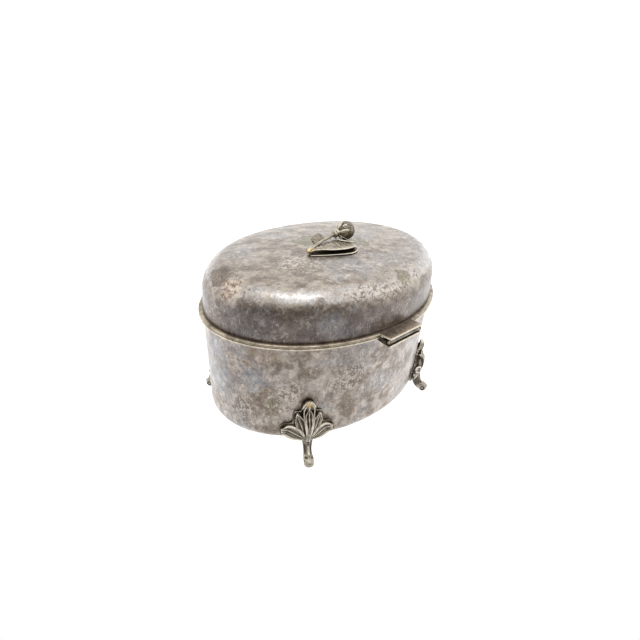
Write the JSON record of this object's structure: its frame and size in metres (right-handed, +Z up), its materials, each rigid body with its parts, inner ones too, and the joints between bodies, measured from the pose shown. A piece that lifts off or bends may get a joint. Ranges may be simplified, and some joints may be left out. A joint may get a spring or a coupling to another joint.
{
  "type": "trinket box",
  "caption": "Oval footed metal box with a domed hinged lid, rolled rim, leaf-shaped cast feet and a bud-and-leaf finial for keeping small things.",
  "frame": {"origin": "on the plane the feet stand on, under the middle of the footprint; the oval's centre is 2.25 mm in front of it, at y = -2.25 mm", "axes": "+X along the oval's long axis, +Y towards the hinge at the back, +Z up"},
  "size_m": [0.12, 0.0941, 0.0866],
  "materials": {
    "plated_sheet": "tarnished silver plate, satin with worn patches",
    "plated_bead": "silver plate rubbed bright, brass showing on the edges",
    "plated_hinge": "worn silver plate over brass, edges rubbed through",
    "hinge_wire": "bare drawn brass",
    "cast_foot": "silver-plated casting, dark in the recesses, bright on the ridges",
    "cast_finial": "silver-plated casting, dark in the recesses, brass at the tip",
    "fixing": "bare turned brass"
  },
  "bodies": {
    "box": {"body_shell": "plated_sheet", "body_rim_bead": "plated_bead", "mouth_bezel": "plated_sheet", "hinge_body_leaf": "plated_hinge", "hinge_knuckle_left": "plated_hinge", "hinge_knuckle_right": "plated_hinge", "hinge_pin": "hinge_wire", "foot_back_right": "cast_foot", "foot_back_left": "cast_foot", "foot_front_right": "cast_foot", "foot_front_left": "cast_foot"},
    "lid": {"lid_shell": "plated_sheet", "lid_rim_bead": "plated_bead", "hinge_lid_leaf": "plated_hinge", "hinge_knuckle_lid": "plated_hinge", "finial_leaf": "cast_finial", "finial_bud_leaf": "cast_finial", "finial_small_leaf": "cast_finial", "finial_stem": "cast_finial", "finial_knot": "cast_finial", "finial_calyx": "cast_finial", "finial_bud": "cast_finial", "finial_washer": "fixing", "finial_nut": "fixing"}
  },
  "joints": [
    {"name": "lid_hinge", "type": "hinge", "parent": "box", "child": "lid", "pos_m": [0.0012, 0.04605, 0.05335], "axis": [-1, 0, 0], "range_deg": [0, 102]}
  ]
}
